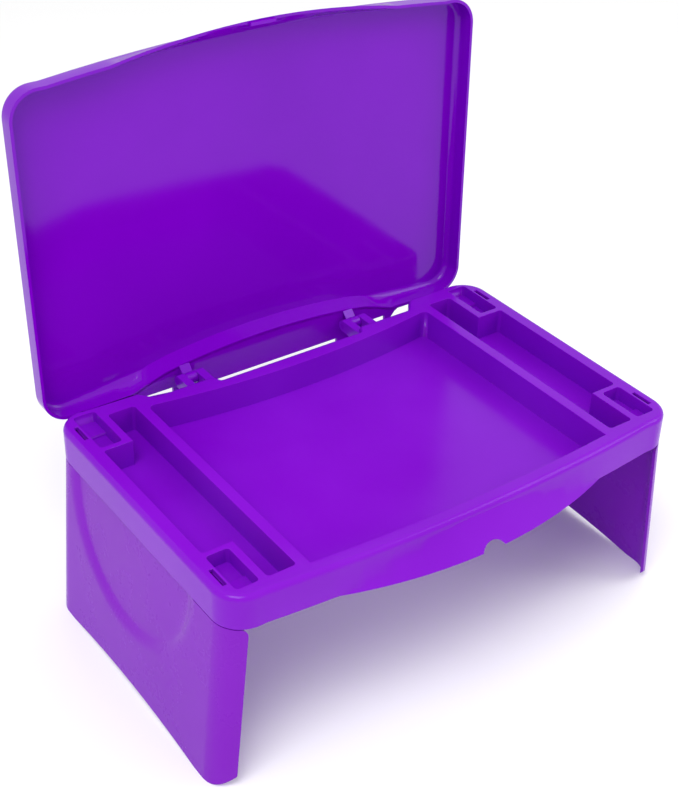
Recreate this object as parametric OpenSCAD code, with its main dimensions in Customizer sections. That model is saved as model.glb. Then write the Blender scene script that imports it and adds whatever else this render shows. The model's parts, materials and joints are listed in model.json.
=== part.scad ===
// Folding lap desk: a storage tray with a hinged lid and two fold-under legs.
// Every piece is a thin-walled plastic moulding. X runs along the desk, Y to the back, Z up.
// The lid is drawn open and the legs are drawn unfolded.

/* [Overall] */
// Width of the tray at its rim
tray_w = 444; // [400:1:480]
// Depth of the tray along its short sides
tray_d = 278; // [262:1:300]
// Height of the rim above the floor
rim_z = 186; // [160:1:200]
// Radius of the corners in plan
corner_r = 25; // [22:1:32]
// How far the front edge bows out at the middle
front_bow = 10.5; // [6:0.5:14]
// Thickness of the moulded walls
wall = 2.6; // [2:0.1:3]

/* [Tray] */
// Height of the tray's outer wall
skirt_h = 30; // [29:0.5:34]
// Rounding of the rim's outer edge
rim_r = 5; // [3.5:0.5:6]
// Width of the flat ledge at the front of the rim
front_ledge = 13; // [10:0.5:15]
// Width of the flat ledge behind the corner pockets
rear_ledge = 9; // [8:0.5:12]
// Width of the flat ledge at the two sides
side_ledge = 14; // [11:0.5:16]
// Width of the slots in the side ledges
slot_w = 3.5; // [2.5:0.1:4.5]
// Length of the slots in the side ledges
slot_l = 20; // [14:1:24]
// Distance from the compartments to the middle of a slot
slot_out = 3.8; // [3.3:0.1:4.5]

/* [Compartments] */
// Width of the central bin
bin_w = 294.6; // [270:0.2:300]
// Depth of the central bin below the rim
bin_depth = 27; // [20:0.5:27]
// Gap between the bin and the back of the tray
bin_back = 26.5; // [22:0.5:32]
// Thickness of the dividers beside the bin
divider_w = 9.7; // [6:0.1:12]
// Width of the narrow ends of the pen channels
channel_w = 24.5; // [18:0.5:28]
// Depth of the pen channels below the rim
channel_depth = 24; // [16:0.5:26]
// Gap between a pen channel and the back of the tray
channel_back = 20; // [16:0.5:24]
// Width of a corner pocket
pocket_w = 19.5; // [15:0.5:22]
// Length of a corner pocket
pocket_l = 43; // [34:1:50]
// How much longer a rear corner pocket is than a front one
pocket_more = 7; // [0:0.5:10]
// Depth of a corner pocket below the rim
pocket_depth = 13; // [8:0.5:18]
// Wall between a corner pocket and the wide part of the channel
pocket_rib = 5; // [4:0.5:7]
// Height of the raised step in a corner pocket's floor
step_h = 3; // [1:0.5:5]
// Length of the raised step in a corner pocket's floor
step_l = 19.35; // [14:0.05:24]
// Rounding of the compartments' corners in plan
comp_r = 6; // [3:0.5:8]

/* [Front bulge] */
// Half the width of the bulge at the lower edge of the tray
belly_half = 131.5; // [110:0.5:150]
// How far the bulge stands out from the corners at its lower edge
belly_out = 27.5; // [22:0.5:34]
// Width of the finger notch
notch_w = 22; // [16:1:28]
// Height of the finger notch
notch_h = 6; // [4:0.5:8]

/* [Lid] */
// How much deeper the lid is than the tray along its short sides
lid_over = 13; // [10:0.5:18]
// Height of the lid
lid_h = 20; // [17:0.5:26]
// Rounding of the lid's outer edge
lid_r = 8; // [5:0.5:10]
// Half the width of the lid's front bulge
lift_half = 137; // [110:1:150]
// How far the lid's bulge stands out from the corners
lift_out = 18; // [15:0.5:22]
// Half the width of the hinge recess in the lid's back edge
recess_half = 140; // [125:1:150]
// Depth of the hinge recess at the lid's lower edge
recess_in = 14; // [13:0.5:16]
// How much deeper the hinge recess is at the top of the lid
recess_draw = 4; // [1:0.5:5]
// Width of the latch tab under the lid's front edge
latch_w = 24; // [16:1:30]
// How far the latch tab reaches below the rim's level when the lid is closed
latch_drop = 2.5; // [1.5:0.5:4]
// How far the latch tab's root runs up the lid's lip
latch_root = 3.5; // [2.5:0.5:5]
// Gap between the closed lid and the rim
lid_gap = 0.4; // [0.3:0.1:0.8]
// Angle that the lid opens to from closed
lid_open = 91.5; // [88:0.5:100]

/* [Hinge] */
// Distance from the middle of the desk to a hinge
hinge_x = 88; // [80:1:100]
// Overall width of a hinge
hinge_w = 26; // [20:1:32]
// Width of the lid's knuckle
knuckle_w = 10; // [7:0.5:13]
// Outer diameter of the hinge barrels
barrel_d = 11; // [9:0.5:12]
// Diameter of the moulded hinge pin
hinge_pin_d = 5; // [4:0.5:6]
// Depth of the hinge axis below the rim
hinge_drop = 10; // [8:0.5:13]
// How far the lid's knuckle runs up into the lid
knuckle_rise = 6; // [4:0.5:8]

/* [Legs] */
// Wall thickness of the legs
leg_wall = 3; // [2.5:0.1:3.5]
// Depth of the legs' rounded flanges
flange = 17; // [14:0.5:18]
// Angle that the legs lean out by
splay = 5; // [0:0.5:7]
// Distance from a leg's outer face to its pivot
pivot_in = 11; // [9.5:0.5:12]
// Diameter of the moulded pivot pins
pivot_pin_d = 5; // [4:0.5:5.5]
// Outer diameter of the pivot lugs under the tray
lug_d = 14; // [11:0.5:14]
// Thickness of the pivot lugs
lug_t = 8; // [6:0.5:9]
// Distance from the front or back of the tray to a pivot lug
lug_y = 22; // [21:0.5:26]
// Thickness of the ears that carry the pivot pins
ear_t = 6; // [4:0.5:8]
// Rounding of the feet
foot_r = 18; // [10:1:24]
// Height of the arch between the feet
arch_h = 6; // [3:0.5:10]
// Radius of the finger scoop in a leg's outer face
scoop_r = 92; // [60:1:98]
// Depth of the finger scoop
scoop_depth = 3.5; // [1.5:0.5:4]
// Distance of the scoop behind the middle of the leg
scoop_back = 8; // [-10:1:12]
// Distance of the scoop's middle below the leg's upper edge
scoop_drop = 2; // [0:0.5:8]

/* [Fits] */
// Radial clearance of the pins in their bores
pin_fit = 0.05; // [0.03:0.01:0.1]
// Gap between faces that slide past each other
slide_fit = 0.5; // [0.4:0.1:0.8]
// Gap between the tray's lower edge and the unfolded legs
seam = 1; // [0.6:0.1:1.6]

/* [Hidden] */
body_colour = "#7a14c8";
lid_colour = "#7208c0";
leg_colour = "#8a3ad6";

small_fn = 40;
wide_fn = 960;
over = 1;

// The shallow arcs cross what they join by these lengths and this angle, so that nothing is tangent
bow_start = 7;
bow_lap = 3;
meet_gap = 0.5;
bulge_lap = 4;
bulge_depth = 34;
bulge_more = 1;

// Outline of the tray: a rounded rectangle whose straight front carries a shallow arc
corner_x = tray_w / 2 - corner_r;
bow_chord = corner_x - bow_start;
bow_r = (bow_chord * bow_chord + front_bow * front_bow) / (2 * front_bow);
bow_y = bow_r - front_bow;
bow_half = asin((bow_chord + bow_lap) / bow_r);

// Bulge of the tray's front wall: a cone whose widest edge is the wall's lower edge
base_at_belly = bow_y - sqrt(bow_r * bow_r - belly_half * belly_half);
belly_sag = belly_out + base_at_belly;
belly_r = (belly_half * belly_half + belly_sag * belly_sag) / (2 * belly_sag);
belly_y = belly_r - belly_out;
belly_meet = rim_r + meet_gap;
belly_slope = (belly_out - front_bow) / (skirt_h - belly_meet);
belly_high = rim_r / 2;
belly_half_angle = asin((belly_half + bulge_lap) / belly_r);

// Compartments, all measured from the tray's own edges
side_x = tray_w / 2 - side_ledge;
bin_front_r = bow_r - front_ledge;
pocket_front = front_ledge;
pocket_end = pocket_front + pocket_l;
pocket_back_end = tray_d - rear_ledge;
pocket_back_start = pocket_back_end - pocket_l - pocket_more;
channel_x0 = bin_w / 2 + divider_w;
channel_x1 = channel_x0 + channel_w;
pocket_x0 = side_x - pocket_w;
wide_y0 = pocket_end + pocket_rib;
wide_y1 = pocket_back_start - pocket_rib;
slot_x = side_x + slot_out;

// Hinge axis and the lid's place on it
lid_d = tray_d + lid_over;
hinge_y = tray_d + barrel_d / 2;
lift_sag = lift_out + bow_y - sqrt(bow_r * bow_r - lift_half * lift_half);
lift_r = (lift_half * lift_half + lift_sag * lift_sag) / (2 * lift_sag);
lift_y = lift_r - lift_out;
lift_meet = lid_h - lid_r - meet_gap;
lift_slope = (lift_out - front_bow) / lift_meet;
lift_high = lid_h - lid_r / 2;
recess_r = (recess_half * recess_half + recess_in * recess_in) / (2 * recess_in);
lid_corner_y = lid_d - corner_r;

// Legs: each hangs on two pins on one axis, low enough to fold flat under the tray
pivot_drop = skirt_h + flange - pivot_in + slide_fit;
leg_face = tray_w / 2 + (pivot_drop - skirt_h - seam) * tan(splay);
pivot_x = leg_face - pivot_in / cos(splay);
leg_len = rim_z - pivot_drop;
ear_y = lug_y + lug_t + slide_fit;
ear_r = flange - pivot_in;

// The desk stands with the middle of its open footprint over the origin
lid_back_y = hinge_y + (lid_h + lid_gap + hinge_drop) * sin(lid_open)
    - (hinge_y + front_bow - lid_r) * cos(lid_open);
mid_y = (lid_back_y - belly_out) / 2;

module place() {
    translate([0, -mid_y, rim_z]) children();
}

module both_sides() {
    children();
    mirror([1, 0, 0]) children();
}

// The desk's outline in plan, drawn in by an inset
module outline(depth, inset) {
    rounded_rect(inset - tray_w / 2, inset, tray_w / 2 - inset, depth - inset, corner_r - inset);
    intersection() {
        translate([0, bow_y]) circle(bow_r - inset, $fn = wide_fn);
        translate([-bow_chord - bow_lap, -2 * front_bow])
            square([2 * (bow_chord + bow_lap), 2 * front_bow + corner_r]);
    }
}

// Section of a block's edge, rounded at the top; an inset draws it in all round
module edge_section(w, h, r, inset) {
    translate([-w, -h]) square([w - inset, h - r]);
    translate([-w, -r - over]) square([w - r, r + over - inset]);
    intersection() {
        translate([-r, -r]) circle(r - inset, $fn = small_fn);
        translate([-r - over, -r]) square(r + over);
    }
}

// The desk's outline as a solid with a rounded upper edge
module rounded_block(depth, h, r, inset) {
    half_x = tray_w / 2;
    for (x = [-corner_x, corner_x], y = [corner_r, depth - corner_r])
        translate([x, y, 0])
            rotate_extrude($fn = small_fn * 2)
                intersection() {
                    translate([corner_r, 0]) edge_section(corner_r, h, r, inset);
                    translate([0, -h]) square([corner_r, h]);
                }
    translate([0, depth - corner_r, 0])
        rotate([90, 0, 0])
            linear_extrude(depth - 2 * corner_r) {
                translate([half_x, 0]) edge_section(half_x + over, h, r, inset);
                mirror([1, 0]) translate([half_x, 0]) edge_section(half_x + over, h, r, inset);
            }
    translate([-corner_x, 0, 0])
        rotate([90, 0, 90])
            linear_extrude(2 * corner_x) {
                translate([depth, 0]) edge_section(2 * corner_r, h, r, inset);
                mirror([1, 0]) edge_section(2 * corner_r, h, r, inset);
            }
    translate([0, bow_y, 0])
        rotate([0, 0, -90 - bow_half])
            rotate_extrude(angle = 2 * bow_half, $fn = wide_fn)
                translate([bow_r, 0]) edge_section(2 * corner_r, h, r, inset);
}

module rounded_rect(x0, y0, x1, y1, r) {
    translate([x0 + r, y0]) square([x1 - x0 - 2 * r, y1 - y0]);
    translate([x0, y0 + r]) square([x1 - x0, y1 - y0 - 2 * r]);
    for (x = [x0 + r, x1 - r], y = [y0 + r, y1 - r])
        translate([x, y]) circle(r, $fn = small_fn);
}

// Cone sector of the front bulges, between two heights
module bulge(y, r_low, z_low, r_high, z_high, half_angle) {
    r_in = r_low - bulge_depth;
    translate([0, y, 0])
        rotate([0, 0, -90 - half_angle])
            rotate_extrude(angle = 2 * half_angle, $fn = wide_fn)
                polygon([[r_in, z_low], [r_low, z_low], [r_high, z_high], [r_in, z_high]]);
}

// Compartments: grow 0 gives the open space, grow = wall gives the walls round it
module bin_plan(grow) {
    intersection() {
        rounded_rect(-bin_w / 2 - grow, front_ledge - front_bow - comp_r - 2 * over, bin_w / 2 + grow,
            tray_d - bin_back + grow, comp_r + grow);
        translate([0, bow_y]) circle(bin_front_r + grow, $fn = wide_fn);
    }
}

module channel_plan(grow) {
    rounded_rect(channel_x0 - grow, pocket_front - grow, channel_x1 + grow,
        tray_d - channel_back + grow, comp_r / 2 + grow);
    rounded_rect(channel_x0 - grow, wide_y0 - grow, side_x + grow, wide_y1 + grow, comp_r / 2 + grow);
}

module pocket_plan(y0, y1, grow) {
    rounded_rect(pocket_x0 - grow, y0 - grow, side_x + grow, y1 + grow, comp_r / 2 + grow);
}

// The raised step in the floor of each corner pocket
module step_plan() {
    for (y0 = [pocket_front - over, pocket_back_end - step_l])
        translate([pocket_x0 - over, y0]) square([pocket_w + 2 * over, step_l + over]);
}

module pockets_plan(grow) {
    pocket_plan(pocket_front, pocket_end, grow);
    pocket_plan(pocket_back_start, pocket_back_end, grow);
}

module spaces(grow) {
    floor_t = grow > 0 ? wall : 0;
    top = grow > 0 ? -wall / 2 : over;
    translate([0, 0, -bin_depth - floor_t]) linear_extrude(bin_depth + floor_t + top) bin_plan(grow);
    both_sides() {
        translate([0, 0, -channel_depth - floor_t])
            linear_extrude(channel_depth + floor_t + top) channel_plan(grow);
        translate([0, 0, -pocket_depth - floor_t])
            linear_extrude(pocket_depth + floor_t + top)
                difference() {
                    pockets_plan(grow);
                    if (grow == 0) step_plan();
                }
        translate([0, 0, step_h - pocket_depth]) linear_extrude(pocket_depth + top) pockets_plan(grow);
    }
}

module rim_slots() {
    both_sides()
        for (y0 = [lug_y, tray_d - lug_y - slot_l])
            translate([slot_x - slot_w / 2, y0, -wall - over])
                cube([slot_w, slot_l, wall + 2 * over]);
}

module lug() {
    translate([pivot_x, lug_y + lug_t, -pivot_drop])
        rotate([90, 0, 0])
            linear_extrude(lug_t) {
                circle(d = lug_d, $fn = small_fn);
                translate([-lug_d / 2, 0]) square([lug_d, pivot_drop - pocket_depth - wall / 2]);
            }
}

module lug_bore() {
    translate([pivot_x, lug_y + lug_t + over, -pivot_drop])
        rotate([90, 0, 0])
            cylinder(d = pivot_pin_d + 2 * pin_fit, h = lug_t + 2 * over, $fn = small_fn);
}

// Repeats a front-right feature at all four corners of the tray
module four_corners() {
    both_sides() {
        children();
        translate([0, tray_d, 0]) mirror([0, 1, 0]) children();
    }
}

module barrel(x0, x1, d) {
    translate([x0, hinge_y, -hinge_drop])
        rotate([0, 90, 0]) cylinder(d = d, h = x1 - x0, $fn = small_fn);
}

module tray_knuckles() {
    outer = hinge_w / 2;
    inner = knuckle_w / 2 + slide_fit / 2;
    both_sides()
        for (x0 = [hinge_x - outer, hinge_x + inner]) {
            barrel(x0, x0 + outer - inner, barrel_d);
            translate([x0, tray_d - wall / 2, -hinge_drop - barrel_d / 2])
                cube([outer - inner, barrel_d / 2 + wall / 2, barrel_d]);
        }
}

// Cuts a block off flat below a height
module trim_below(z) {
    translate([-tray_w, -tray_w, z - tray_w]) cube([2 * tray_w, 3 * tray_w, tray_w]);
}

// Upper skin of the tray before it is hollowed
module tray_block() {
    low = skirt_h + over;
    difference() {
        union() {
            rounded_block(tray_d, low, rim_r, 0);
            bulge(belly_y, belly_r + belly_slope * over, -low, belly_r - belly_slope * (skirt_h - belly_high),
                -belly_high, belly_half_angle);
        }
        trim_below(-skirt_h);
    }
}

// Everything under the deck and outside the compartments' walls
module tray_underside() {
    low = skirt_h + 3 * over;
    difference() {
        union() {
            translate([0, 0, -low]) linear_extrude(low - wall) outline(tray_d, wall);
            bulge(belly_y, belly_r - wall + belly_slope * (low - skirt_h), -low,
                belly_r - wall - belly_slope * (skirt_h - rim_r - wall), -rim_r - wall,
                belly_half_angle + bulge_more);
        }
        spaces(wall);
    }
}

module finger_notch() {
    notch_r = (notch_w * notch_w / 4 + notch_h * notch_h) / (2 * notch_h);
    translate([0, -belly_out - over, notch_h - notch_r - skirt_h])
        rotate([-90, 0, 0]) cylinder(r = notch_r, h = belly_out, $fn = small_fn);
}

module tray() {
    color(body_colour) place()
        difference() {
            union() {
                difference() {
                    tray_block();
                    tray_underside();
                    spaces(0);
                    rim_slots();
                    finger_notch();
                }
                four_corners() lug();
                tray_knuckles();
            }
            four_corners() lug_bore();
            both_sides() barrel(hinge_x - hinge_w, hinge_x + hinge_w, hinge_pin_d + 2 * pin_fit);
        }
}

// Cone that hollows the lid's back edge round the hinges
module recess(grow) {
    rise = recess_draw * over / lid_h;
    translate([0, lid_d - recess_in + recess_r, -over])
        cylinder(r1 = recess_r + grow - rise, r2 = recess_r + recess_draw + grow + rise, h = lid_h + 2 * over,
            $fn = wide_fn);
}

module lid_shell() {
    half = asin((lift_half + bulge_lap) / lift_r);
    difference() {
        union() {
            translate([0, 0, lid_h]) rounded_block(lid_d, lid_h + over, lid_r, 0);
            bulge(lift_y, lift_r + lift_slope * over, -over,
                lift_r - lift_slope * lift_high, lift_high, half);
        }
        trim_below(0);
        recess(0);
        difference() {
            union() {
                translate([0, 0, lid_h]) rounded_block(lid_d, lid_h + 3 * over, lid_r, wall);
                bulge(lift_y, lift_r - wall + lift_slope * 3 * over, -3 * over,
                    lift_r - wall - lift_slope * (lid_h - lid_r - wall), lid_h - lid_r - wall,
                    half + bulge_more);
            }
            recess(wall);
        }
    }
}

module lid_knuckles() {
    both_sides() {
        barrel(hinge_x - knuckle_w / 2, hinge_x + knuckle_w / 2, barrel_d);
        barrel(hinge_x - hinge_w / 2, hinge_x + hinge_w / 2, hinge_pin_d);
        translate([hinge_x - knuckle_w / 2, hinge_y - barrel_d / 4, -hinge_drop])
            cube([knuckle_w, barrel_d * 3 / 4, hinge_drop + lid_gap + knuckle_rise]);
    }
}

module latch_tab() {
    translate([-latch_w / 2, -lift_out + wall / 2, -latch_drop])
        cube([latch_w, wall, latch_drop + latch_root]);
}

module lid() {
    color(lid_colour) place()
        translate([0, hinge_y, -hinge_drop])
            rotate([-lid_open, 0, 0])
                translate([0, -hinge_y, hinge_drop]) {
                    translate([0, 0, lid_gap]) lid_shell();
                    lid_knuckles();
                    latch_tab();
                }
}

// Section of a leg: a shallow channel whose ends wrap round the tray's corners
module leg_plan(inset) {
    intersection() {
        rounded_rect(inset, inset, 4 * corner_r, tray_d - inset, corner_r - inset);
        square([flange + (inset > 0 ? over : 0), tray_d]);
    }
}

// Side view of a leg, with rounded feet and an arch between them
module leg_side() {
    foot_span = tray_d / 2 - 2 * foot_r;
    arch_r = (foot_span * foot_span + arch_h * arch_h) / (2 * arch_h);
    difference() {
        union() {
            translate([foot_r, -leg_len]) square([tray_d - 2 * foot_r, leg_len * 2]);
            translate([0, foot_r - leg_len]) square([tray_d, leg_len * 2]);
            for (y = [foot_r, tray_d - foot_r])
                translate([y, foot_r - leg_len]) circle(foot_r, $fn = small_fn);
        }
        translate([tray_d / 2, arch_h - leg_len - arch_r]) circle(arch_r, $fn = wide_fn);
    }
}

// One leg in its own frame: outer face at x = 0, pivot at z = 0, hanging down
module leg_shell() {
    low = leg_len / cos(splay) + over;
    scoop_y = tray_d / 2 + scoop_back;
    scoop_z = pivot_drop - skirt_h - seam - scoop_drop;
    difference() {
        union() {
            difference() {
                translate([0, 0, -low]) linear_extrude(low + pivot_in) leg_plan(0);
                translate([0, 0, -low - over]) linear_extrude(low + pivot_in + 2 * over) leg_plan(leg_wall);
            }
            intersection() {
                translate([leg_wall - over, scoop_y, scoop_z])
                    rotate([0, 90, 0])
                        cylinder(r1 = scoop_r + leg_wall, r2 = scoop_r, h = scoop_depth + over,
                            $fn = small_fn * 4);
                translate([0, 0, -low]) cube([flange, tray_d, low + pivot_in]);
            }
        }
        translate([-over, scoop_y, scoop_z])
            rotate([0, 90, 0])
                cylinder(r1 = scoop_r + over, r2 = scoop_r - scoop_depth, h = scoop_depth + over,
                    $fn = small_fn * 4);
    }
}

module leg_ears() {
    for (y0 = [ear_y, tray_d - ear_y - ear_t]) {
        translate([pivot_in, y0 + ear_t, 0])
            rotate([90, 0, 0]) cylinder(r = ear_r, h = ear_t, $fn = small_fn);
        translate([leg_wall / 2, y0, -ear_r]) cube([pivot_in - leg_wall / 2, ear_t, 2 * ear_r - over]);
    }
    for (y0 = [lug_y, tray_d - ear_y - over])
        translate([pivot_in, y0, 0])
            rotate([-90, 0, 0])
                cylinder(d = pivot_pin_d, h = lug_t + slide_fit + over, $fn = small_fn);
}

// The flanges' upper inner corners are rounded about the pivot, so that they swing clear
module swing_trim() {
    difference() {
        translate([pivot_in, -over, 0]) cube([flange, tray_d + 2 * over, 2 * pivot_in]);
        translate([pivot_in, tray_d + 2 * over, 0])
            rotate([90, 0, 0]) cylinder(r = ear_r, h = tray_d + 4 * over, $fn = small_fn);
    }
}

module left_leg_shape() {
    intersection() {
        translate([-pivot_x, 0, -pivot_drop])
            rotate([0, splay, 0])
                translate([-pivot_in, 0, 0])
                    difference() {
                        union() {
                            leg_shell();
                            leg_ears();
                        }
                        swing_trim();
                    }
        translate([-tray_w, 0, -pivot_drop])
            rotate([90, 0, 90])
                linear_extrude(tray_w) intersection() {
                    leg_side();
                    translate([0, -leg_len - over])
                        square([tray_d, leg_len + over + pivot_drop - skirt_h - seam]);
                }
    }
}

module left_leg() {
    color(leg_colour) place() left_leg_shape();
}

module right_leg() {
    color(leg_colour) place() mirror([1, 0, 0]) left_leg_shape();
}

tray();
lid();
left_leg();
right_leg();
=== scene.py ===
import json
import math

import bmesh
import bpy
from mathutils import Euler, Matrix, Vector


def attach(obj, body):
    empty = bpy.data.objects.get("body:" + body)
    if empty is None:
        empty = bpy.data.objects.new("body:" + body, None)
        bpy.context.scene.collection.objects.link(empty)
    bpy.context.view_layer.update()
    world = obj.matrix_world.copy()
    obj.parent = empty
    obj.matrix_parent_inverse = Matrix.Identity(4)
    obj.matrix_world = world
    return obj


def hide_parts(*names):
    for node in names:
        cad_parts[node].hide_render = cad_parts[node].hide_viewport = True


# A glossy purple lap desk on a white floor, with its lid open. The four CAD pieces are shown as finer
# copies, whose hinge zone and finger scoops follow the photo more closely. One ledge is added to the lid.
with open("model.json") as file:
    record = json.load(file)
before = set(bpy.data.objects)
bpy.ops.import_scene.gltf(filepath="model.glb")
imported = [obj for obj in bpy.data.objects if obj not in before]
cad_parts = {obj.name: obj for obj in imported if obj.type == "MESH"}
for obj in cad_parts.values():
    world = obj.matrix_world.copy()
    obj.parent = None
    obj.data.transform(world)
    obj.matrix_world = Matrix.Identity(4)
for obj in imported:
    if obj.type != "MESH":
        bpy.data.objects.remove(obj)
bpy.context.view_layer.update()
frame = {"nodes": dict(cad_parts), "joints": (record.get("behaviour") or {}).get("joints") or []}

scene = bpy.context.scene
scene.view_settings.view_transform = "Standard"
MM = 0.001


# Materials. Noise scales are in waves to the metre.
PLASTIC_IOR = 1.49
FLOW_SCALE = 6.0
FLOW_DETAIL = 3.0
FLOW_RANGE = (0.3, 0.62)
TONE_RANGE = (0.3, 1.0)
SMEAR_SCALE = 14.0
SMEAR_DETAIL = 6.0
SMEAR_ROUGHNESS = 0.6
SCUFF_SCALE = 300.0
SCUFF_SHARE = 0.12
WEAR_RANGE = (0.3, 0.75)
GLOSSIEST = 0.8
DULLEST = 1.3
RIPPLE_SCALE = 18.0
RIPPLE_STRENGTH = 0.08
RIPPLE_HEIGHT = 0.9 * MM
GRAIN_SCALE = 1400.0
GRAIN_STRENGTH = 0.02
GRAIN_HEIGHT = 0.04 * MM


def node(tree, kind, **values):
    made = tree.nodes.new(kind)
    for key, value in values.items():
        setattr(made, key, value)
    return made


def noise(tree, coords, scale, detail=2.0, roughness=0.5):
    made = node(tree, "ShaderNodeTexNoise")
    made.inputs["Scale"].default_value = scale
    made.inputs["Detail"].default_value = detail
    made.inputs["Roughness"].default_value = roughness
    tree.links.new(coords.outputs["Object"], made.inputs["Vector"])
    return made.outputs["Fac"]


def map_range(tree, value, given, wanted):
    """Stretches one range of values to another."""
    made = node(tree, "ShaderNodeMapRange")
    made.inputs["From Min"].default_value = given[0]
    made.inputs["From Max"].default_value = given[1]
    made.inputs["To Min"].default_value = wanted[0]
    made.inputs["To Max"].default_value = wanted[1]
    tree.links.new(value, made.inputs["Value"])
    return made.outputs["Result"]


def bump(tree, height, strength, distance):
    made = node(tree, "ShaderNodeBump")
    made.inputs["Strength"].default_value = strength
    made.inputs["Distance"].default_value = distance
    tree.links.new(height, made.inputs["Height"])
    return made


def moulded_plastic(name, colour, deep, roughness, gloss):
    """Glossy moulded polypropylene: flow shading in the melt, handling smears, scuffs and a fine grain."""
    mat = bpy.data.materials.new(name)
    mat.use_nodes = True
    tree = mat.node_tree
    tree.nodes.clear()
    link = tree.links.new
    out = node(tree, "ShaderNodeOutputMaterial")
    bsdf = node(tree, "ShaderNodeBsdfPrincipled")
    link(bsdf.outputs["BSDF"], out.inputs["Surface"])
    bsdf.inputs["IOR"].default_value = PLASTIC_IOR
    bsdf.inputs["Specular IOR Level"].default_value = gloss
    coords = node(tree, "ShaderNodeTexCoord")

    # slow change of tone where the melt flowed
    flow = noise(tree, coords, FLOW_SCALE, FLOW_DETAIL)
    tone = node(tree, "ShaderNodeMix", data_type="RGBA")
    tone.inputs["A"].default_value = deep + (1.0,)
    tone.inputs["B"].default_value = colour + (1.0,)
    link(map_range(tree, flow, FLOW_RANGE, TONE_RANGE), tone.inputs["Factor"])
    link(tone.outputs["Result"], bsdf.inputs["Base Color"])

    # gloss: broad smears from handling, with fine scuffs over them
    smear = noise(tree, coords, SMEAR_SCALE, SMEAR_DETAIL, SMEAR_ROUGHNESS)
    scuff = noise(tree, coords, SCUFF_SCALE)
    wear = node(tree, "ShaderNodeMix", data_type="FLOAT")
    wear.inputs["Factor"].default_value = SCUFF_SHARE
    link(smear, wear.inputs["A"])
    link(scuff, wear.inputs["B"])
    spread = (roughness * GLOSSIEST, roughness * DULLEST)
    link(map_range(tree, wear.outputs["Result"], WEAR_RANGE, spread), bsdf.inputs["Roughness"])

    # surface: the slight sink and ripple of a moulded face, and a fine grain
    ripple = bump(tree, noise(tree, coords, RIPPLE_SCALE), RIPPLE_STRENGTH, RIPPLE_HEIGHT)
    grain = bump(tree, noise(tree, coords, GRAIN_SCALE), GRAIN_STRENGTH, GRAIN_HEIGHT)
    link(ripple.outputs["Normal"], grain.inputs["Normal"])
    link(grain.outputs["Normal"], bsdf.inputs["Normal"])
    return mat


materials = {
    "tray": moulded_plastic(
        "tray_plastic", colour=(0.205, 0.006, 0.53), deep=(0.17, 0.0, 0.46), roughness=0.20, gloss=0.16
    ),
    "lid": moulded_plastic(
        "lid_plastic", colour=(0.185, 0.0, 0.49), deep=(0.155, 0.0, 0.43), roughness=0.09, gloss=0.22
    ),
    "leg": moulded_plastic(
        "leg_plastic", colour=(0.205, 0.012, 0.48), deep=(0.185, 0.006, 0.44), roughness=0.27, gloss=0.12
    ),
}
NODE_MATERIAL = {"tray": "tray", "lid": "lid", "left_leg": "leg", "right_leg": "leg"}
for name, obj in frame["nodes"].items():
    obj.data.materials.clear()
    obj.data.materials.append(materials[NODE_MATERIAL[name]])


# Finer mouldings, made from copies of the CAD nodes' meshes. The lid is worked on closed.
lid_joint = next(j for j in frame["joints"] if j["name"] == "lid_hinge")
HINGE = Vector(lid_joint["pos_m"])
CLOSE = (
    Matrix.Translation(HINGE)
    @ Matrix.Rotation(math.radians(lid_joint["range_deg"][1]), 4, "X")
    @ Matrix.Translation(-HINGE)
)
BACKWARDS = Vector((0, 1, 0))
UP = Vector((0, 0, 1))
MERGE = 0.004 * MM
SNAP = 0.01 * MM
FLAT_WITHIN = math.radians(0.08)
ON_PLANE = 0.001 * MM
SHARP = math.radians(32)
LEVEL = 0.99999
EDGE_ROUND = 0.5 * MM


def smooth(value, low, high):
    """0 at low, 1 at high, with soft ends."""
    t = min(max((value - low) / (high - low), 0.0), 1.0)
    return t * t * (3 - 2 * t)


def copy_of(name, turn, snap_axis):
    """The node's mesh, turned so that its main faces are square to an axis, and those made whole and flat."""
    mesh = bmesh.new()
    mesh.from_mesh(frame["nodes"][name].data)
    bmesh.ops.transform(mesh, matrix=turn, verts=mesh.verts)
    bmesh.ops.remove_doubles(mesh, verts=mesh.verts, dist=MERGE)
    for vert in mesh.verts:
        vert.co[snap_axis] = round(vert.co[snap_axis] / SNAP) * SNAP
    bmesh.ops.dissolve_limit(mesh, angle_limit=FLAT_WITHIN, verts=mesh.verts, edges=mesh.edges)
    return mesh


def cut(mesh, faces, place, normal):
    """Cuts these faces with a plane."""
    edges = {edge for face in faces for edge in face.edges}
    verts = {vert for face in faces for vert in face.verts}
    geom = list(verts) + list(edges) + list(faces)
    bmesh.ops.bisect_plane(mesh, geom=geom, plane_co=place, plane_no=normal, dist=ON_PLANE)


def cut_across(mesh, half, step, wanted):
    """Cuts the faces that have a wanted corner at regular places along X, so that they can bend."""
    count = int(half / step)
    for k in range(-count, count + 1):
        faces = [face for face in mesh.faces if any(wanted(vert.co) for vert in face.verts)]
        cut(mesh, faces, (k * step, 0, 0), (1, 0, 0))


def round_edges(mesh, wanted, offset):
    """Rounds the sharp edges whose two ends are both wanted."""
    edges = [
        edge
        for edge in mesh.edges
        if len(edge.link_faces) == 2
        and edge.calc_face_angle() > SHARP
        and all(wanted(vert.co) for vert in edge.verts)
    ]
    bmesh.ops.bevel(
        mesh,
        geom=edges,
        offset=offset,
        offset_type="OFFSET",
        segments=2,
        profile=0.5,
        affect="EDGES",
        clamp_overlap=False,
    )


def shade(mesh, flat_axis):
    """Shades all faces smooth, apart from those square to an axis."""
    mesh.normal_update()
    for face in mesh.faces:
        face.smooth = abs(face.normal.dot(flat_axis)) < LEVEL


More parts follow.
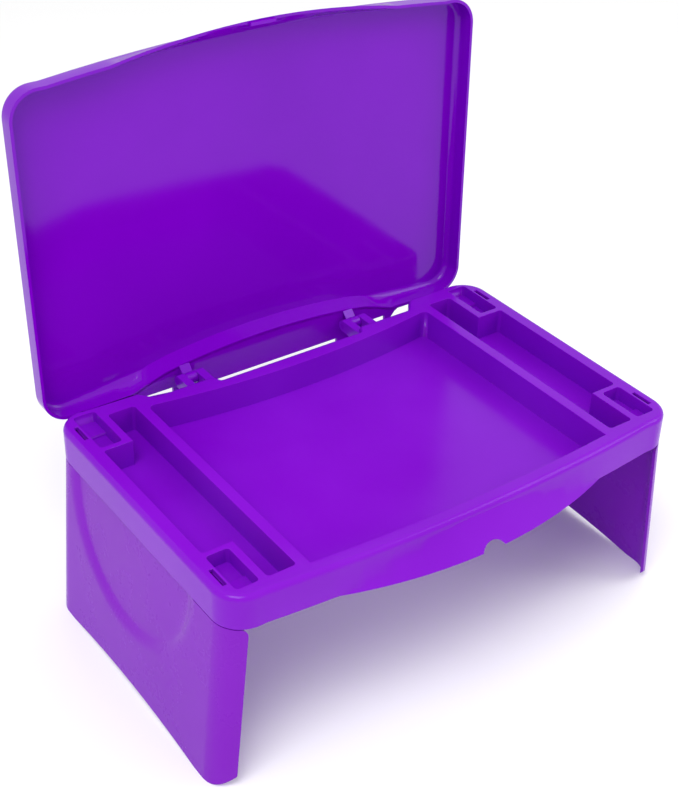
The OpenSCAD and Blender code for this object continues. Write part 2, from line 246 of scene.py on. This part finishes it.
def finished(mesh, name, body, slot, weigh=False):
    """Makes the piece and lets it ride on its body. Weighed normals favour its large faces."""
    data = bpy.data.meshes.new(name)
    mesh.to_mesh(data)
    mesh.free()
    data.set_sharp_from_angle(angle=SHARP)
    piece = bpy.data.objects.new(name, data)
    scene.collection.objects.link(piece)
    if weigh:
        normals = piece.modifiers.new("normals", "WEIGHTED_NORMAL")
        normals.keep_sharp = True
    data.materials.append(materials[slot])
    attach(piece, body)
    return piece


# Tray: the bin's back wall bows in, and so does the rear wall round the hinges. Beyond BARREL_START
# there are only the knuckles, which stay where they are.
ZONE = 150 * MM
CUT_STEP = 3 * MM
BIN_HALF = 147.3 * MM
BIN_SAG = 13.2 * MM
BIN_BACK = HINGE.y - 32 * MM
BIN_CORNER = 9 * MM
EDGE_IN = 14.7 * MM
MIDDLE_IN = 22.9 * MM
MIDDLE_HALF = 74 * MM
EDGE_FROM = 80 * MM
EDGE_TO = 134 * MM
REAR_WALL = HINGE.y - 5.5 * MM
ROUNDING = 7 * MM
BARREL_START = REAR_WALL + 0.4 * MM
RIM_Z = HINGE.z + 10 * MM


def bin_shift(x):
    return BIN_SAG * max(0.0, 1 - (x / BIN_HALF) ** 2)


def edge_shift(x):
    middle = MIDDLE_IN + (EDGE_IN - MIDDLE_IN) * smooth(abs(x), MIDDLE_HALF, EDGE_FROM)
    return middle * (1 - smooth(abs(x), EDGE_TO, ZONE))


def bends(co):
    return co.y > BIN_BACK - BIN_CORNER and abs(co.x) < ZONE + CUT_STEP


mesh = copy_of("tray", Matrix.Identity(4), 2)
cut_across(mesh, ZONE, CUT_STEP, bends)
for vert in mesh.verts:
    x, y, z = vert.co
    if abs(x) >= ZONE or y > BARREL_START:
        continue
    if y > REAR_WALL - ROUNDING:
        vert.co.y -= edge_shift(x)
    elif y > BIN_BACK - BIN_CORNER:
        vert.co.y -= bin_shift(x)
round_edges(mesh, lambda co: abs(co.z - RIM_Z) < SNAP, EDGE_ROUND)
shade(mesh, UP)
tray = finished(mesh, "tray_moulding", "tray", "tray", weigh=True)
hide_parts("tray")


# Lid: its hinge recess lies a little further in. The knuckles, which are lower, stay where they are.
RECESS_SHIFT = 6 * MM
RECESS_FULL = 100 * MM
RECESS_FRONT = -22 * MM
RECESS_BACK = 5 * MM
KNUCKLE_TOP = 9 * MM


def recess_shift(x):
    return RECESS_SHIFT * (1 - smooth(abs(x), RECESS_FULL, ZONE))


mesh = copy_of("lid", CLOSE, 2)
for vert in mesh.verts:
    back, up = vert.co.y - HINGE.y, vert.co.z - HINGE.z
    if up > KNUCKLE_TOP and RECESS_FRONT < back < RECESS_BACK:
        vert.co.y -= recess_shift(vert.co.x)
shade(mesh, UP)
bmesh.ops.transform(mesh, matrix=CLOSE.inverted(), verts=mesh.verts)
lid = finished(mesh, "lid_moulding", "lid", "lid")
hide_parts("lid")


# Ledge that closes the lid's hinge recess, down to three see-through slots. Its edges are measured
# backwards from the hinge, with the lid closed, and its inner edge is buried in the recess wall.
LEDGE_LOW = 10.4 * MM
LEDGE_TOP = 13 * MM
LEDGE_HALF = 147 * MM
RECESS_R = 707 * MM
RECESS_START = -6.5 * MM
BURIED = 1.2 * MM
LID_BACK = 7.5 * MM
MIDDLE_LEDGE = 18 * MM
KNUCKLE_FROM = 76 * MM
KNUCKLE_LEDGE = 23 * MM
KNUCKLE_TO = 100 * MM
SLOT_LEDGE = 10.8 * MM
SLOT_TO = 132 * MM
END_LEDGE = 19 * MM
END_TAPER = 11 * MM
JUMP = 0.01 * MM


def ledge_inner(x):
    recess = RECESS_START + x * x / (2 * RECESS_R) - recess_shift(x)
    return min(recess, LID_BACK) - BURIED


def ledge_outer(x):
    x = abs(x)
    if x <= KNUCKLE_FROM:
        return MIDDLE_LEDGE
    if x <= KNUCKLE_TO:
        return KNUCKLE_LEDGE
    if x <= SLOT_TO:
        return SLOT_LEDGE
    return END_LEDGE - END_TAPER * smooth(x, EDGE_TO, LEDGE_HALF)


def ledge_section(x):
    y0, y1 = HINGE.y + ledge_inner(x), HINGE.y + ledge_outer(x)
    z0, z1 = HINGE.z + LEDGE_LOW, HINGE.z + LEDGE_TOP
    return (x, y0, z0), (x, y1, z0), (x, y1, z1), (x, y0, z1)


count = round(LEDGE_HALF / CUT_STEP)
stations = [k * CUT_STEP for k in range(-count, count + 1)]
for end in (KNUCKLE_FROM, KNUCKLE_TO, SLOT_TO):
    stations += [-end - JUMP, -end + JUMP, end - JUMP, end + JUMP]
mesh = bmesh.new()
rings = [[mesh.verts.new(corner) for corner in ledge_section(x)] for x in sorted(stations)]
for a, b in zip(rings, rings[1:]):
    for k in range(4):
        mesh.faces.new((a[k], b[k], b[(k + 1) % 4], a[(k + 1) % 4]))
mesh.faces.new(rings[0])
mesh.faces.new(rings[-1][::-1])
bmesh.ops.recalc_face_normals(mesh, faces=mesh.faces)
shade(mesh, UP)
bmesh.ops.transform(mesh, matrix=CLOSE.inverted(), verts=mesh.verts)
finished(mesh, "lid_hinge_ledge", "lid", "lid")


# Legs: the finger scoop has a soft edge. Each leg is worked on as a left one that stands upright,
# with its outer face at x = 0 and its pivot at y = 0 and z = 0.
PIVOT_IN = 11 * MM
SPLAY = math.radians(5)
LEG_WALL = 3 * MM
PANEL_FRONT = -121 * MM
PANEL_BACK = 106 * MM
SCOOP_DEPTH = 3.5 * MM
CAD_SCOOP = Vector((0, 3.5)) * MM
CAD_SCOOP_R = 92 * MM
SCOOP = Vector((3, 3.5)) * MM
SCOOP_R = 93 * MM
SCOOP_EDGE = 6 * MM
GRID = 4 * MM


def distance(y, z, centre):
    return math.hypot(y - centre[0], z - centre[1])


def inner_skin(y, z, x):
    """Whether a point of the CAD's leg lies on the inner side of its wall."""
    r = distance(y, z, CAD_SCOOP)
    outer = min(max(CAD_SCOOP_R - r, 0.0), SCOOP_DEPTH)
    inner = LEG_WALL + min(max(CAD_SCOOP_R + LEG_WALL - r, 0.0), SCOOP_DEPTH)
    return x > (outer + inner) / 2


def scoop_depth(y, z):
    r = distance(y, z, SCOOP)
    return SCOOP_DEPTH * (1 - smooth(r, SCOOP_R - SCOOP_EDGE, SCOOP_R + SCOOP_EDGE))


def in_panel(co):
    """Whether a point belongs to the leg's flat panel, in and round the scoop."""
    r = min(distance(co.y, co.z, SCOOP), distance(co.y, co.z, CAD_SCOOP))
    near = r < SCOOP_R + 2 * SCOOP_EDGE
    return near and PANEL_FRONT < co.y < PANEL_BACK and co.x < 2 * LEG_WALL + SCOOP_DEPTH / 3


def leg(name):
    joint = next(j for j in frame["joints"] if j["name"] == name + "_fold")
    pivot = Vector(joint["pos_m"])
    mirror = Matrix.Scale(-1, 4, (1, 0, 0)) if pivot.x > 0 else Matrix.Identity(4)
    pivot.x = -abs(pivot.x)
    straighten = Matrix.Translation((PIVOT_IN, 0, 0)) @ Matrix.Rotation(-SPLAY, 4, "Y")
    upright = straighten @ Matrix.Translation(-pivot) @ mirror

    mesh = copy_of(name, upright, 0)
    reach = int((SCOOP_R + 3 * SCOOP_EDGE) / GRID)
    for k in range(-reach, reach + 1):
        for axis in (BACKWARDS, UP):
            wall = [face for face in mesh.faces if face.calc_center_median().x < 2 * LEG_WALL]
            cut(mesh, wall, axis * (k * GRID), axis)
    for vert in mesh.verts:
        x, y, z = vert.co
        if in_panel(vert.co):
            vert.co.x = scoop_depth(y, z) + (LEG_WALL if inner_skin(y, z, x) else 0.0)
    shade(mesh, BACKWARDS)
    bmesh.ops.transform(mesh, matrix=upright.inverted(), verts=mesh.verts)
    piece = finished(mesh, name + "_moulding", name, "leg", weigh=True)
    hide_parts(name)


for side in ("left", "right"):
    leg(side + "_leg")


# Floor and light
FLOOR_SIZE = 12
FLOOR_WHITE = (0.96, 0.96, 0.96, 1.0)
FLOOR_ROUGHNESS = 0.8
FLOOR_GLOSS = 0.1
SKY_WHITE = (1.0, 1.0, 1.0, 1.0)
SKY_STRENGTH = 0.85
KEY_WATTS = 30
WINDOW_WATTS = 12

bpy.ops.mesh.primitive_plane_add(size=FLOOR_SIZE, location=(0, 0, 0))
floor = bpy.context.object
floor.name = "floor"
floor_paint = bpy.data.materials.new("floor_paint")
floor_paint.use_nodes = True
paint = floor_paint.node_tree.nodes["Principled BSDF"].inputs
paint["Base Color"].default_value = FLOOR_WHITE
paint["Roughness"].default_value = FLOOR_ROUGHNESS
paint["Specular IOR Level"].default_value = FLOOR_GLOSS
floor.data.materials.append(floor_paint)

world = bpy.data.worlds.new("studio")
scene.world = world
world.use_nodes = True
sky = world.node_tree.nodes["Background"].inputs
sky["Color"].default_value = SKY_WHITE
sky["Strength"].default_value = SKY_STRENGTH


def area(name, location, target, size, power):
    data = bpy.data.lights.new(name, "AREA")
    data.shape = "RECTANGLE"
    data.size, data.size_y = size
    data.energy = power
    lamp = bpy.data.objects.new(name, data)
    scene.collection.objects.link(lamp)
    lamp.location = location
    lamp.rotation_euler = (Vector(target) - Vector(location)).to_track_quat("-Z", "Y").to_euler()


area("key", location=(-1.1, -0.7, 2.2), target=(0, 0, 0.15), size=(1.2, 1.2), power=KEY_WATTS)
area("window", location=(1.5, -0.9, 1.6), target=(0, 0, 0.2), size=(1.0, 1.4), power=WINDOW_WATTS)


# Camera, fitted to the photo
WIDTH_PX, HEIGHT_PX = 679, 791
FOCAL_PX = 1436.63
CENTRE_PX = (351.73, 404.68)
SENSOR = 36.0
CAMERA_PLACE = Vector((-0.60461, -0.79731, 0.86077))
CAMERA_TURN = Euler([math.radians(angle) for angle in (56.21143, -1.61545, -35.51884)])
camera_data = bpy.data.cameras.new("camera")
camera = bpy.data.objects.new("camera", camera_data)
scene.collection.objects.link(camera)
camera_data.sensor_width = SENSOR
camera_data.lens = FOCAL_PX * SENSOR / HEIGHT_PX
camera_data.shift_x = -(CENTRE_PX[0] - WIDTH_PX / 2) / HEIGHT_PX
camera_data.shift_y = (CENTRE_PX[1] - HEIGHT_PX / 2) / HEIGHT_PX
camera.matrix_world = Matrix.LocRotScale(CAMERA_PLACE, CAMERA_TURN, None)
scene.camera = camera
